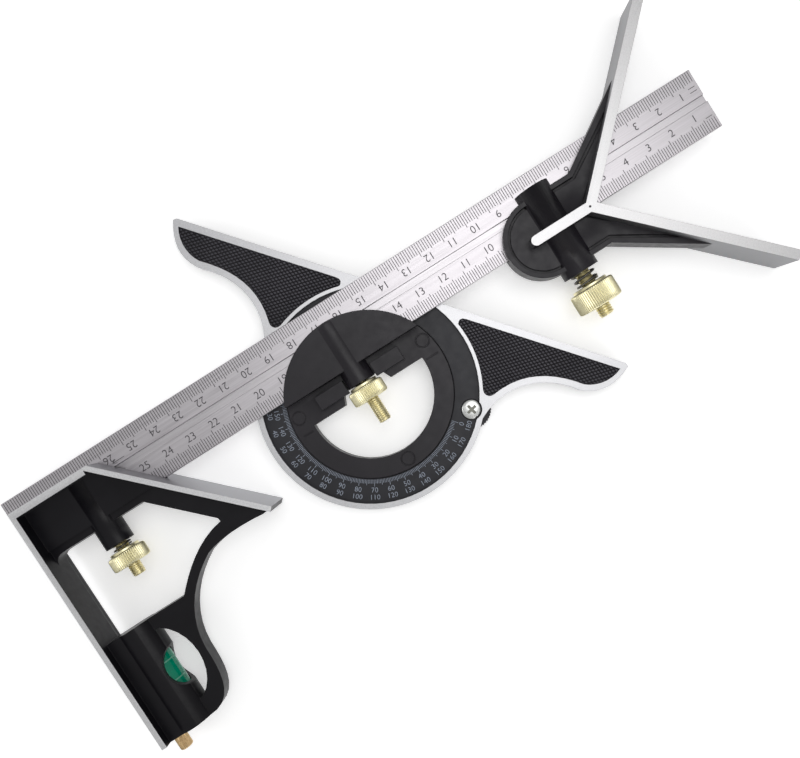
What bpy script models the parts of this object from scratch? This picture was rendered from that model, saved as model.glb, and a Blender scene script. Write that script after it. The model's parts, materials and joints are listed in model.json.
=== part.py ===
"""Combination square set: a grooved steel rule carrying a square head, a protractor head and a centre head.

Each head is modelled in its own frame, which sits where that head's clamp axis meets the rule:
+X runs along the rule towards its zero end, Y = 0 is the rule's seated edge, Z = 0 is its mid-plane.
"""
import math

import bmesh
import bpy
from mathutils import Matrix

MM = 0.001
GAP = 0.3            # running gap between neighbouring pieces, mm

# Where things are along the rule, mm from the turret's clamp axis
RULE_START, RULE_LENGTH, RULE_WIDTH, RULE_THICK = -136.5, 300.0, 24.0, 2.0
SQUARE_AT, CENTER_AT = -107.6, 90.8
GROOVE_WIDTH, GROOVE_DEPTH = 3.0, 0.9

# Blade slot shared by the three heads
SLOT_Z = RULE_THICK / 2 + GAP
SLOT_Y = -GAP

# Square head
HEAD_HALF = 10.5                     # half the depth of the reference faces
SQ_BACK_90 = -7.5                    # back edge of the square head's 90 degree wall
SQ_EDGE, SQ_TOP, SQ_BOTTOM = -23.7, 18.0, -83.0
SQ_MITRE = 27.4                      # x + y along the 45 degree face
SQ_END = 86.9                        # x - y at the end of the 45 degree face
SQ_RIM_90, SQ_RIM_BACK, SQ_RIM_45, SQ_RIM_TOP = 2.0, 1.2, 2.0, 2.6
SQ_WEB, SQ_PAD, SQ_BLOCK = 3.5, 4.5, 6.5
BOSS_X, BOSS_R, BOSS_TOP, BOSS_END = -12.2, 7.6, -40.5, -83.0
VIAL_R, VIAL_WALL = 5.8, 0.8
VIAL_TOP, VIAL_END = -44.0, -76.0
SIGHT_X, SIGHT_Y, SIGHT_R = 0.7, -61.2, 10.0
SCRIBER_X, SCRIBER_R, SCRIBER_DEPTH = -20.6, 1.0, 38.0
KNOB_R, KNOB_LENGTH = 2.5, 5.9

# Protractor head
TURRET_Y, TURRET_R, TURRET_HOLE = -14.6, 31.2, 23.8
CHEEK_FRONT, CHEEK_FOOT = 4.7, -2.3
BODY_FRONT, BODY_BACK = -1.3, -7.0
FLANGE_R, FLANGE_FRONT = 33.4, -4.6
PROTRACTOR_ANGLE = -50.0             # reference edge against the rule, degrees
RIM_R, RIM_WIDTH, DIAL_DEPTH = 42.9, 2.1, 1.3
EDGE_Y, EDGE_HALF = 40.5, 88.8
ARM_RECESS, PANEL_R = 0.8, 42.1      # sunk panel of each arm, which ends at the dial's wall
LOCK_X, LOCK_Y, LOCK_HEAD_R, LOCK_SHANK_R, LOCK_NUT_R = 37.7, 6.3, 3.65, 2.0, 7.9
LOCK_SEAT, LOCK_HEAD_TOP = -3.6, -1.6

# Centre head
DISC_X, DISC_R = -6.1, 14.85
VEE_X, ARM_THICK, ARM_LENGTH = 15.5, 3.8, 76.0
SPINE_START, SPINE_HALF = -12.0, 1.9
CE_RIM, CE_WEB, CE_RIM_WIDTH = 4.7, 3.9, 1.8

# Clamps: tube radius and ends, bolt and stud radius, nut radius and ends, stud end, spring
CLAMPS = {
    "square": dict(tube_r=5.5, tube=(-11.5, 15.9), bolt_r=4.2, stud_r=2.5,
                   nut_r=7.15, nut=(-13.8, -20.4), stud_end=-25.1, coil_r=3.35, wire_r=0.35, turns=3),
    "turret": dict(tube_r=5.5, tube=(-9.0, 15.8), bolt_r=4.2, stud_r=2.5,
                   nut_r=7.0, nut=(-9.5, -16.2), stud_end=-25.7, coil_r=3.35, wire_r=0.35, turns=2),
    "center": dict(tube_r=7.1, tube=(-17.9, 17.9), bolt_r=5.2, stud_r=3.0,
                   nut_r=8.8, nut=(-23.2, -32.3), stud_end=-36.6, coil_r=4.2, wire_r=0.5, turns=4),
}
POCKET_DEPTH, POCKET_WALL = 2.5, 2.0  # spring pocket in the tube's end, and the wall behind it
LUG_LOW, LUG_HIGH = 10.8, 11.7        # hook of the clamp bolt in the rule's groove
FLAT_START = -2.4                     # where the bolt's flat begins, below the rule by its travel
BOLT_TOP, BORE_TOP = 13.4, 15.2

BLACK = ("black_enamel", (0.012, 0.012, 0.015), 0.45, 0.0)
STEEL = ("satin_steel", (0.56, 0.55, 0.56), 0.35, 1.0)
SPRING_STEEL = ("spring_steel", (0.35, 0.34, 0.32), 0.35, 1.0)
ZINC = ("zinc_plate", (0.72, 0.73, 0.75), 0.25, 1.0)
BRASS = ("brass", (0.76, 0.62, 0.31), 0.3, 1.0)
ACRYLIC = ("clear_acrylic", (0.75, 0.95, 0.85), 0.05, 0.0)
SPIRIT = ("green_spirit", (0.0, 0.25, 0.13), 0.05, 0.0)
PLASTIC = ("black_plastic", (0.02, 0.02, 0.02), 0.5, 0.0)


# ---------------------------------------------------------------- scene and materials
def start_scene():
    for obj in list(bpy.data.objects):
        bpy.data.objects.remove(obj, do_unlink=True)
    groups = []
    for name in ("combination_square", "cutters"):
        group = bpy.data.collections.new(name)
        bpy.context.scene.collection.children.link(group)
        groups.append(group)
    return groups


PARTS, CUTTERS = start_scene()


def frame_at(name, x, y, parent=None, angle=0.0):
    """An empty that carries a head's pieces; angle turns it about Z, in degrees."""
    empty = bpy.data.objects.new(name, None)
    PARTS.objects.link(empty)
    empty.location = (x * MM, y * MM, 0)
    empty.rotation_euler = (0, 0, math.radians(angle))
    empty.parent = parent
    return empty


def paint(obj, finish):
    name, colour, roughness, metallic = finish
    mat = bpy.data.materials.new(f"{name}_{obj.name}")
    mat.use_nodes = True
    shader = mat.node_tree.nodes["Principled BSDF"]
    shader.inputs["Base Color"].default_value = (*colour, 1)
    shader.inputs["Roughness"].default_value = roughness
    shader.inputs["Metallic"].default_value = metallic
    obj.data.materials.append(mat)


def finish_part(obj, name, finish):
    """Moves a finished shape into the parts, names it and paints it."""
    CUTTERS.objects.unlink(obj)
    PARTS.objects.link(obj)
    obj.name = obj.data.name = name
    obj.hide_render = False
    obj.display_type = 'TEXTURED'
    obj.data.shade_smooth()
    obj.data.set_sharp_from_angle(angle=math.radians(35))
    paint(obj, finish)
    return obj


# ---------------------------------------------------------------- shapes, all sizes in mm
def add_mesh(name, mesh, frame):
    obj = bpy.data.objects.new(name, mesh)
    CUTTERS.objects.link(obj)
    obj.parent = frame
    obj.hide_render = True
    obj.display_type = 'WIRE'
    return obj


def box(frame, low, high, name="box"):
    size = [b - a for a, b in zip(low, high)]
    middle = [(a + b) / 2 for a, b in zip(low, high)]
    bm = bmesh.new()
    bmesh.ops.create_cube(bm, size=MM, matrix=Matrix.Diagonal((*size, 1)))
    mesh = bpy.data.meshes.new(name)
    bm.to_mesh(mesh)
    bm.free()
    obj = add_mesh(name, mesh, frame)
    obj.location = [c * MM for c in middle]
    return obj


def rod(frame, radius, start, end, along="Z", at=(0.0, 0.0), sides=32, end_radius=None, name="rod"):
    """A cylinder from start to end along Y or Z; at gives its other two coordinates.

    end_radius makes it a cone that ends at that radius."""
    last = radius if end_radius is None else end_radius
    bm = bmesh.new()
    bmesh.ops.create_cone(bm, cap_ends=True, segments=sides, radius1=radius * MM, radius2=last * MM,
                          depth=abs(end - start) * MM)
    mesh = bpy.data.meshes.new(name)
    bm.to_mesh(mesh)
    bm.free()
    obj = add_mesh(name, mesh, frame)
    middle = (start + end) / 2
    if along == "Z":
        obj.location = (at[0] * MM, at[1] * MM, middle * MM)
        obj.rotation_euler = (0 if end > start else math.pi, 0, 0)
    else:
        obj.location = (at[0] * MM, middle * MM, at[1] * MM)
        obj.rotation_euler = (-math.pi / 2 if end > start else math.pi / 2, 0, 0)
    return obj


def plate(frame, outline, low, high, name="plate"):
    """A flat outline filled and extruded from low to high along Z."""
    curve = bpy.data.curves.new(name, 'CURVE')
    curve.dimensions = '2D'
    curve.fill_mode = 'BOTH'
    curve.extrude = (high - low) / 2 * MM
    spline = curve.splines.new('POLY')
    spline.points.add(len(outline) - 1)
    for point, (x, y) in zip(spline.points, outline):
        point.co = (x * MM, y * MM, 0, 1)
    spline.use_cyclic_u = True
    obj = to_mesh(curve, name, frame)
    obj.location = (0, 0, (low + high) / 2 * MM)
    return obj


def to_mesh(curve, name, frame):
    """Turns curve data into a welded mesh object in the given frame."""
    guide = bpy.data.objects.new(name, curve)
    CUTTERS.objects.link(guide)
    bpy.context.view_layer.update()
    shape = guide.evaluated_get(bpy.context.evaluated_depsgraph_get())
    mesh = bpy.data.meshes.new_from_object(shape)
    bm = bmesh.new()
    bm.from_mesh(mesh)
    bmesh.ops.remove_doubles(bm, verts=bm.verts, dist=1e-7)
    bmesh.ops.recalc_face_normals(bm, faces=bm.faces)
    bm.to_mesh(mesh)
    bm.free()
    bpy.data.objects.remove(guide, do_unlink=True)
    return add_mesh(name, mesh, frame)


def turned(frame, profile, at, name="turned", along="Y", steps=32):
    """A ring or knob turned from a closed profile of (radius, distance along the axis).

    at is the axis's (x, y, z). The profile runs down its outer side."""
    mesh = bpy.data.meshes.new(name)
    bm = bmesh.new()
    points = [bm.verts.new((r * MM, 0, d * MM)) for r, d in profile]
    for a, b in zip(points, points[1:] + points[:1]):
        if not (a.co.x == 0 and b.co.x == 0):
            bm.edges.new((a, b))
    bm.to_mesh(mesh)
    bm.free()
    obj = add_mesh(name, mesh, frame)
    obj.location = [c * MM for c in at]
    obj.rotation_euler = (-math.pi / 2 if along == "Y" else 0, 0, 0)
    screw = obj.modifiers.new("turn", 'SCREW')
    screw.steps = screw.render_steps = steps
    screw.use_merge_vertices = True
    screw.merge_threshold = 1e-6
    return obj


def boolean(obj, tool, operation):
    mod = obj.modifiers.new(operation.lower(), 'BOOLEAN')
    mod.operation = operation
    mod.object = tool
    mod.solver = 'EXACT'


def cut(obj, *tools):
    for tool in tools:
        boolean(obj, tool, 'DIFFERENCE')


def join(obj, *tools):
    for tool in tools:
        boolean(obj, tool, 'UNION')


# ---------------------------------------------------------------- outline helpers
def arc(x, y, radius, start, end, steps):
    angles = [math.radians(start + (end - start) * i / steps) for i in range(steps + 1)]
    return [(x + radius * math.cos(a), y + radius * math.sin(a)) for a in angles]


def bezier(a, b, c, d, steps):
    """Points on the curve from a to d, without a itself."""
    points = []
    for i in range(1, steps + 1):
        t = i / steps
        weights = ((1 - t) ** 3, 3 * t * (1 - t) ** 2, 3 * t * t * (1 - t), t ** 3)
        points.append(tuple(sum(w * p[k] for w, p in zip(weights, (a, b, c, d))) for k in (0, 1)))
    return points


# ---------------------------------------------------------------- clamp shared by the heads
def clamp_tube(frame, spec):
    """The tube of a head's clamp, to be joined to the casting before its slot is cut."""
    return rod(frame, spec["tube_r"], *spec["tube"], along="Y", sides=40)


def clamp_bore(frame, spec):
    """Cutters for the bolt's bore, the stud's hole and the spring's pocket."""
    end = spec["tube"][0]
    bore_start = end + POCKET_DEPTH + POCKET_WALL
    pocket_r = spec["coil_r"] + spec["wire_r"] + GAP
    return (rod(frame, spec["bolt_r"] + GAP, bore_start, BORE_TOP, along="Y"),
            rod(frame, spec["stud_r"] + GAP, end + POCKET_DEPTH - 1, bore_start + 1, along="Y", sides=24),
            rod(frame, pocket_r, end - 1, end + POCKET_DEPTH, along="Y", sides=24))


def clamp_pieces(frame, prefix, spec):
    """Hook bolt, nut and spring of one clamp."""
    low = spec["tube"][0] + POCKET_DEPTH + POCKET_WALL + GAP
    bolt = rod(frame, spec["bolt_r"], low, BOLT_TOP, along="Y")
    reach = spec["bolt_r"] + 1
    cut(bolt, box(frame, (-reach, FLAT_START, -reach), (reach, BOLT_TOP + 1, SLOT_Z)))
    groove_floor = RULE_THICK / 2 - GROOVE_DEPTH
    join(bolt, box(frame, (-2.5, LUG_LOW, groove_floor + GAP), (2.5, LUG_HIGH, SLOT_Z + 0.5)),
         rod(frame, spec["stud_r"], low + 1, spec["stud_end"], along="Y", sides=24))
    finish_part(bolt, f"{prefix}_clamp_bolt", STEEL)

    top, end = spec["nut"]
    r, bore, edge, collar = spec["nut_r"], spec["stud_r"] + GAP, 0.6, 1.0
    profile = [(bore, top), (r * 0.78, top), (r * 0.78, top - collar), (r - edge, top - collar),
               (r, top - collar - edge), (r, end + edge), (r - edge, end), (bore, end)]
    finish_part(turned(frame, profile, (0, 0, 0)), f"{prefix}_clamp_nut", BRASS)

    floor = spec["tube"][0] + POCKET_DEPTH
    coil(frame, spec, floor - GAP, top + GAP, f"{prefix}_clamp_spring")


def coil(frame, spec, start, end, name, per_turn=10):
    """A round-wire compression spring about the clamp axis."""
    curve = bpy.data.curves.new(name, 'CURVE')
    curve.dimensions = '3D'
    curve.bevel_depth = spec["wire_r"] * MM
    curve.bevel_resolution = 2
    curve.use_fill_caps = True
    count = spec["turns"] * per_turn + 1
    spline = curve.splines.new('POLY')
    spline.points.add(count - 1)
    first, last = start - spec["wire_r"], end + spec["wire_r"]
    for i, point in enumerate(spline.points):
        angle = 2 * math.pi * i / per_turn
        y = first + (last - first) * i / (count - 1)
        point.co = (spec["coil_r"] * math.cos(angle) * MM, y * MM, spec["coil_r"] * math.sin(angle) * MM, 1)
    finish_part(to_mesh(curve, name, frame), name, SPRING_STEEL)


# ---------------------------------------------------------------- the rule
def make_rule(frame):
    end = RULE_START + RULE_LENGTH
    half = RULE_THICK / 2
    rule = box(frame, (RULE_START, 0, -half), (end, RULE_WIDTH, half))
    middle = RULE_WIDTH / 2
    cut(rule, box(frame, (RULE_START - 1, middle - GROOVE_WIDTH / 2, half - GROOVE_DEPTH),
                  (end + 1, middle + GROOVE_WIDTH / 2, half + 1)))
    finish_part(rule, "rule", STEEL)


# ---------------------------------------------------------------- the square head
def flange_end(line):
    """Where the square end of the 45 degree flange meets the line x + y = line."""
    return (line + SQ_END) / 2, (line - SQ_END) / 2


def square_outline():
    """Outer edge of the casting, counter-clockwise from the bottom of the 90 degree face."""
    points = [(SQ_EDGE, BOSS_END), (-5.5, BOSS_END)]
    points += bezier(points[-1], (5.6, BOSS_END), (6.7, -72), (6.7, -61), 9)
    points += bezier(points[-1], (7.4, -48), (15.6, -38), (26.6, -32), 9)
    points += bezier(points[-1], (33, -29.6), (43, -29.6), (51.2, -30.6), 8)
    points += [flange_end(SQ_MITRE), (SQ_MITRE - SQ_TOP, SQ_TOP), (SQ_EDGE, SQ_TOP)]
    return points


def window_outline():
    """The open middle of the casting, counter-clockwise from its lower left corner."""
    left, top, low, mitre = SQ_EDGE + SQ_RIM_90, -3.2, BOSS_TOP, SQ_MITRE - 14.0
    points = [(left, low), (10.4, low)]
    points += bezier(points[-1], (16.5, -34), (25.4, -26), (36.6, -24.4), 8)
    points += [(mitre + 23, -23), (mitre - top, top)]
    points += arc(left + 3.5, top - 3.5, 3.5, 90, 180, 5)
    return points


def finger_outline():
    """The D-shaped opening beside the vial, from its lower left corner."""
    left, low, top = -8.0, -75.7, -45.5
    return [(left, low), (left, top), (-3.7, top)] + bezier((-3.7, top), (6.2, -52), (6.2, -70), (-4.1, low), 10)


def make_square_head(frame):
    spec = CLAMPS["square"]
    head = plate(frame, square_outline(), -SQ_WEB, SQ_WEB)
    cut(head, *[plate(frame, outline, -SQ_WEB - 1, SQ_WEB + 1)
                for outline in (window_outline(), finger_outline())])
    mitre_in = SQ_MITRE - SQ_RIM_45 * math.sqrt(2)
    flange_45 = [flange_end(SQ_MITRE), (SQ_MITRE - SQ_TOP, SQ_TOP), (mitre_in - SQ_TOP, SQ_TOP),
                 flange_end(mitre_in)]
    pad = [(SQ_EDGE + 0.5, -0.6), (mitre_in + 1.2, -0.6), (mitre_in + 0.6 - SQ_TOP, SQ_TOP - 0.6),
           (SQ_EDGE + 0.5, SQ_TOP - 0.6)]
    boss = rod(frame, BOSS_R, BOSS_END, BOSS_TOP, along="Y", at=(BOSS_X, 0), sides=40)
    cut(boss, rod(frame, SIGHT_R, -HEAD_HALF, HEAD_HALF, at=(SIGHT_X, SIGHT_Y), sides=48))
    join(head,
         box(frame, (SQ_EDGE, SQ_BOTTOM, -SQ_WEB + 0.5), (SQ_EDGE + SQ_RIM_90, SQ_TOP, HEAD_HALF)),
         box(frame, (SQ_EDGE, SQ_BOTTOM, SQ_BACK_90), (SQ_EDGE + SQ_RIM_BACK, SQ_TOP, 0)),
         plate(frame, flange_45, -HEAD_HALF, HEAD_HALF),
         box(frame, (SQ_EDGE + 1, SQ_TOP - SQ_RIM_TOP, -HEAD_HALF), (mitre_in + 1 - SQ_TOP, SQ_TOP, HEAD_HALF)),
         plate(frame, pad, -SQ_PAD, SQ_PAD),
         clamp_tube(frame, spec),
         box(frame, (SQ_EDGE + 0.7, BOSS_END, -SQ_BLOCK), (BOSS_X, BOSS_TOP, SQ_BLOCK)),
         boss)
    cut(head,
        box(frame, (SQ_EDGE - 1, SLOT_Y, -SLOT_Z), (SQ_MITRE + 1, SQ_TOP + 1, SLOT_Z)),
        rod(frame, VIAL_R + GAP, BOSS_END - 1, VIAL_TOP + GAP, along="Y", at=(BOSS_X, 0)),
        rod(frame, SCRIBER_R + GAP, BOSS_END - 1, BOSS_END + SCRIBER_DEPTH + 1, along="Y", at=(SCRIBER_X, 0),
            sides=12),
        *clamp_bore(frame, spec))
    finish_part(head, "square_head", BLACK)
    clamp_pieces(frame, "square", spec)


def make_vial(frame):
    """Level vial in the boss: a tube with one closed end, its stopper, the spirit and the boss's end plug."""
    inner = VIAL_R - VIAL_WALL
    tube = rod(frame, VIAL_R, VIAL_END, VIAL_TOP, along="Y", at=(BOSS_X, 0))
    cut(tube, rod(frame, inner, VIAL_END - 1, VIAL_TOP - 1.2, along="Y", at=(BOSS_X, 0)))
    finish_part(tube, "vial_tube", ACRYLIC)
    stopper = rod(frame, inner - GAP, VIAL_END, VIAL_END + 2, along="Y", at=(BOSS_X, 0), sides=24)
    finish_part(stopper, "vial_stopper", PLASTIC)
    spirit = rod(frame, inner - GAP, VIAL_END + 2 + GAP, VIAL_TOP - 1.2 - GAP, along="Y", at=(BOSS_X, 0),
                 sides=24)
    finish_part(spirit, "vial_spirit", SPIRIT)
    plug = rod(frame, VIAL_R, BOSS_END, VIAL_END - GAP, along="Y", at=(BOSS_X, 0))
    finish_part(plug, "vial_end_plug", PLASTIC)


def make_scriber(frame):
    """Steel needle in the brass knob that closes its hole beside the 90 degree face."""
    top = BOSS_END - GAP
    end = top - KNOB_LENGTH
    knob = turned(frame, [(0, top), (KNOB_R - 0.3, top), (KNOB_R, top - 0.3), (KNOB_R, end + 0.5),
                          (KNOB_R - 0.5, end), (0, end)], (SCRIBER_X, 0, 0), steps=24)
    cut(knob, rod(frame, SCRIBER_R, top - 4, top + 1, along="Y", at=(SCRIBER_X, 0), sides=12))
    finish_part(knob, "scriber_knob", BRASS)
    taper, shank = 8.0, SCRIBER_R - 0.2
    needle = rod(frame, shank, top - 3.5, BOSS_END + SCRIBER_DEPTH - taper, along="Y", at=(SCRIBER_X, 0),
                 sides=12)
    join(needle, rod(frame, shank, BOSS_END + SCRIBER_DEPTH - taper, BOSS_END + SCRIBER_DEPTH, along="Y",
                     at=(SCRIBER_X, 0), sides=12, end_radius=0.1))
    finish_part(needle, "scriber_needle", STEEL)


# ---------------------------------------------------------------- the protractor head
def make_turret(frame):
    """Ring that holds the rule: a flanged ring behind it and a half-round cheek in front."""
    spec = CLAMPS["turret"]
    centre = (0, TURRET_Y)
    ring = rod(frame, TURRET_R, BODY_BACK, BODY_FRONT, at=centre, sides=72)
    join(ring, rod(frame, FLANGE_R, BODY_BACK, FLANGE_FRONT, at=centre, sides=72))
    cut(ring, rod(frame, TURRET_HOLE, BODY_BACK - 1, BODY_FRONT + 1, at=centre, sides=64))
    wide = TURRET_HOLE + 1
    web = [(-wide, -13), (-10, -13), (-8, -8.6), (8, -8.6), (10, -13), (wide, -13), (wide, SLOT_Y),
           (-wide, SLOT_Y)]
    start = math.degrees(math.asin((CHEEK_FOOT - TURRET_Y) / TURRET_R))
    cheek = arc(0, TURRET_Y, TURRET_R, start, 180 - start, 32)
    foot = math.sqrt(TURRET_R ** 2 - (SLOT_Y - TURRET_Y) ** 2)
    tube = clamp_tube(frame, spec)
    reach = spec["tube_r"] + 1
    cut(tube, box(frame, (-reach, SLOT_Y, -reach), (reach, RULE_WIDTH, SLOT_Z)))
    join(ring,
         plate(frame, web, BODY_BACK, BODY_FRONT),
         plate(frame, cheek, SLOT_Z, CHEEK_FRONT),
         box(frame, (-foot, CHEEK_FOOT, BODY_FRONT - 1), (foot, SLOT_Y, CHEEK_FRONT - 0.4)),
         *[box(frame, (side - 6, -10, BODY_FRONT - 1), (side + 6, -4.5, 1.2)) for side in (-12, 12)],
         tube)
    cut(ring, *clamp_bore(frame, spec))
    finish_part(ring, "turret", BLACK)
    clamp_pieces(frame, "turret", spec)


def body_outline():
    """Outer edge of the protractor body in its own frame, centred on the swivel axis, edge on top."""
    points = [(EDGE_HALF - 1.2, EDGE_Y), (-EDGE_HALF + 1.2, EDGE_Y), (-EDGE_HALF, EDGE_Y - 1)]
    points += bezier(points[-1], (-86.5, 32), (-83.2, 27), (-75, 25.6), 8)
    points += bezier(points[-1], (-60, 27.1), (-46.5, 20.1), (-42.8, 4.5), 12)[:-1]
    points += arc(0, 0, RIM_R, 174, 366, 56)
    points += bezier(points[-1], (46.5, 20.1), (60, 27.1), (75, 25.6), 12)
    points += bezier(points[-1], (83.2, 27), (86.5, 32), (EDGE_HALF, EDGE_Y - 1), 8)
    return points


def arm_recess_outline(side):
    """Sunk panel of one arm; side is -1 for the left arm and 1 for the right."""
    points = [(25.2, 37.8), (86.2, 37.8)]
    points += bezier(points[-1], (84.7, 32.8), (80.1, 28.8), (75, 28.1), 7)
    points += bezier(points[-1], (62, 28.8), (51.2, 25.4), (43.9, 14.2), 10)
    points += bezier(points[-1], (42.8, 12.6), (40.7, 12.6), (39.6, 14.4), 5)
    points += arc(0, 0, PANEL_R, 21, 56.5, 10)
    points += bezier(points[-1], (22.6, 36.6), (23.4, 37.8), points[0], 4)[:-1]
    return [(side * x, y) for x, y in points]


def make_protractor_body(frame):
    body = plate(frame, body_outline(), BODY_BACK, BODY_FRONT)
    dial = BODY_FRONT - DIAL_DEPTH
    cut(body,
        rod(frame, TURRET_R + GAP, BODY_BACK - 1, BODY_FRONT + 1, sides=72),
        rod(frame, FLANGE_R + GAP, BODY_BACK - 1, FLANGE_FRONT + GAP, sides=72),
        rod(frame, RIM_R - RIM_WIDTH, dial, BODY_FRONT + 1, sides=72),
        *[plate(frame, arm_recess_outline(side), BODY_FRONT - ARM_RECESS, BODY_FRONT + 1) for side in (-1, 1)])
    for side in (-1, 1):
        at = (side * LOCK_X, LOCK_Y)
        cut(body, rod(frame, LOCK_SHANK_R + GAP, BODY_BACK - 1, BODY_FRONT, at=at, sides=20),
            rod(frame, LOCK_HEAD_R + GAP, LOCK_SEAT, BODY_FRONT + 1, at=at, sides=28))
    finish_part(body, "protractor_body", BLACK)


def make_lock(frame, side, name):
    """Cross-head screw from the front and knurled nut behind, which grip the turret's flange."""
    at = (side * LOCK_X, LOCK_Y, 0)
    spot = frame_at(f"lock_{name}_frame", at[0], at[1], parent=frame)
    seat = LOCK_SEAT + GAP
    screw = rod(spot, LOCK_HEAD_R, seat, LOCK_HEAD_TOP, sides=28)
    join(screw, rod(spot, LOCK_SHANK_R, -HEAD_HALF + 0.2, seat + 0.5, sides=20))
    cut(screw, *[box(spot, (-a, -b, LOCK_HEAD_TOP - 0.7), (a, b, 0)) for a, b in ((2.1, 0.4), (0.4, 2.1))])
    finish_part(screw, f"lock_screw_{name}", ZINC)
    top, bore, edge = BODY_BACK - GAP, LOCK_SHANK_R + GAP, 0.4
    profile = [(bore, top), (LOCK_NUT_R - edge, top), (LOCK_NUT_R, top - edge), (LOCK_NUT_R, -HEAD_HALF + edge),
               (LOCK_NUT_R - edge, -HEAD_HALF), (bore, -HEAD_HALF)]
    finish_part(turned(spot, profile, (0, 0, 0), along="Z", steps=28), f"lock_nut_{name}", BLACK)


# ---------------------------------------------------------------- the centre head
def vee_outline():
    """The two arms of the vee as one chevron, open towards +X."""
    along = math.sqrt(0.5)
    tip = (VEE_X + ARM_LENGTH * along, ARM_LENGTH * along)
    shift = ARM_THICK * along
    upper = [tip, (tip[0] - shift, tip[1] + shift)]
    return [(VEE_X, 0)] + upper + [(VEE_X - ARM_THICK * math.sqrt(2), 0)] + [(x, -y) for x, y in upper[::-1]]


def center_outline(inset=0.0):
    """Web of the centre head, or its sunk floor when inset, counter-clockwise from inside the vee."""
    r = DISC_R - inset
    flat_end, slope = 14.1, math.radians(33)
    shift = inset * math.tan(slope / 2)
    reach = 31.0 - 2.5 * inset
    upper = [(flat_end + reach + inset, r + reach * math.tan(slope)), (flat_end + shift, r)]
    upper += arc(DISC_X, 0, r, 90, 180, 14)
    return [(VEE_X - 1 - 2 * inset, 0)] + upper + [(x, -y) for x, y in upper[-2::-1]]


def make_center_head(frame):
    spec = CLAMPS["center"]
    head = plate(frame, center_outline(), -CE_RIM, CE_RIM)
    cut(head, *[plate(frame, center_outline(CE_RIM_WIDTH), low, high)
                for low, high in ((CE_WEB, CE_RIM + 1), (-CE_RIM - 1, -CE_WEB))])
    spine = [(VEE_X - 2, SPINE_HALF), *arc(SPINE_START + SPINE_HALF, 0, SPINE_HALF, 90, 270, 10),
             (VEE_X - 2, -SPINE_HALF)]
    join(head,
         clamp_tube(frame, spec),
         plate(frame, vee_outline(), -HEAD_HALF, HEAD_HALF),
         plate(frame, spine, -HEAD_HALF + 0.01, HEAD_HALF - 0.01))
    right = VEE_X + ARM_LENGTH
    cut(head,
        box(frame, (-30, SLOT_Y, -SLOT_Z), (right, RULE_WIDTH + GAP, SLOT_Z)),
        *clamp_bore(frame, spec))
    finish_part(head, "center_head", BLACK)
    clamp_pieces(frame, "center", spec)


# ---------------------------------------------------------------- assembly
def centre_on_floor(root):
    """Moves the assembly so that the middle of its box's underside is the world's origin."""
    bpy.context.view_layer.update()
    graph = bpy.context.evaluated_depsgraph_get()
    corners = []
    for obj in PARTS.objects:
        if obj.type == 'MESH':
            shape = obj.evaluated_get(graph)
            corners += [shape.matrix_world @ v.co for v in shape.data.vertices]
    for axis in (0, 1):
        values = [c[axis] for c in corners]
        root.location[axis] -= (min(values) + max(values)) / 2
    root.location[2] -= min(c[2] for c in corners)


def main():
    root = frame_at("rule_frame", 0, 0)
    square = frame_at("square_frame", SQUARE_AT, 0, parent=root)
    turret = frame_at("turret_frame", 0, 0, parent=root)
    protractor = frame_at("protractor_frame", 0, TURRET_Y, parent=turret, angle=PROTRACTOR_ANGLE)
    center = frame_at("center_frame", CENTER_AT, 0, parent=root)

    make_rule(root)
    make_square_head(square)
    make_vial(square)
    make_scriber(square)
    make_turret(turret)
    make_protractor_body(protractor)
    make_lock(protractor, -1, "left")
    make_lock(protractor, 1, "right")
    make_center_head(center)
    centre_on_floor(root)


main()
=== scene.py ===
"""Looks of the combination square set: enamelled castings with ground faces and worn edges, an etched rule,
knurled nuts on threaded studs, the level vial and the protractor's dial.

Sizes are in millimetres. Each head is worked in its own frame: X along the rule from that head's clamp
axis, Y from the rule's seated edge, Z from the rule's mid-plane. The protractor's frame is centred on its
swivel and turned with its body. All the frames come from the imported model.
"""
import json
import math

import bmesh
import bpy
from mathutils import Matrix, Vector

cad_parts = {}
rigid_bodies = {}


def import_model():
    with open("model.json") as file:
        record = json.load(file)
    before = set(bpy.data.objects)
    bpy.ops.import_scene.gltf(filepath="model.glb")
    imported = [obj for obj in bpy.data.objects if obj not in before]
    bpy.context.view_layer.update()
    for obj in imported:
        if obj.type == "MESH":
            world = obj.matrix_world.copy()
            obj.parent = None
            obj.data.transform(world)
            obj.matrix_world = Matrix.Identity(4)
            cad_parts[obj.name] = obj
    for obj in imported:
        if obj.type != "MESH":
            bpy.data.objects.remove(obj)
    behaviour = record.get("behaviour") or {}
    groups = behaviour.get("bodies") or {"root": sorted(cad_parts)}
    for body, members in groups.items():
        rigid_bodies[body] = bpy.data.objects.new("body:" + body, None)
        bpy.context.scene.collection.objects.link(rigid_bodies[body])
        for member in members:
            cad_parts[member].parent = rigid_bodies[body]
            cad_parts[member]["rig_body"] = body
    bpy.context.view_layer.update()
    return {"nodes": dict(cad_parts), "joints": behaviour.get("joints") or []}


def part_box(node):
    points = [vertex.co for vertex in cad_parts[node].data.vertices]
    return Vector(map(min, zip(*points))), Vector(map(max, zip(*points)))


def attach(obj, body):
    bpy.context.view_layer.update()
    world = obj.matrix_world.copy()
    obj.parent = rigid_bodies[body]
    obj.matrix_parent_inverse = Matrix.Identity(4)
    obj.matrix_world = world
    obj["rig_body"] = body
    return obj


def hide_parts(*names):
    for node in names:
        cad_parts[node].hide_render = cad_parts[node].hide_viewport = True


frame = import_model()

MM = 0.001
GAP = 0.3                       # running gap between neighbouring pieces

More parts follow.
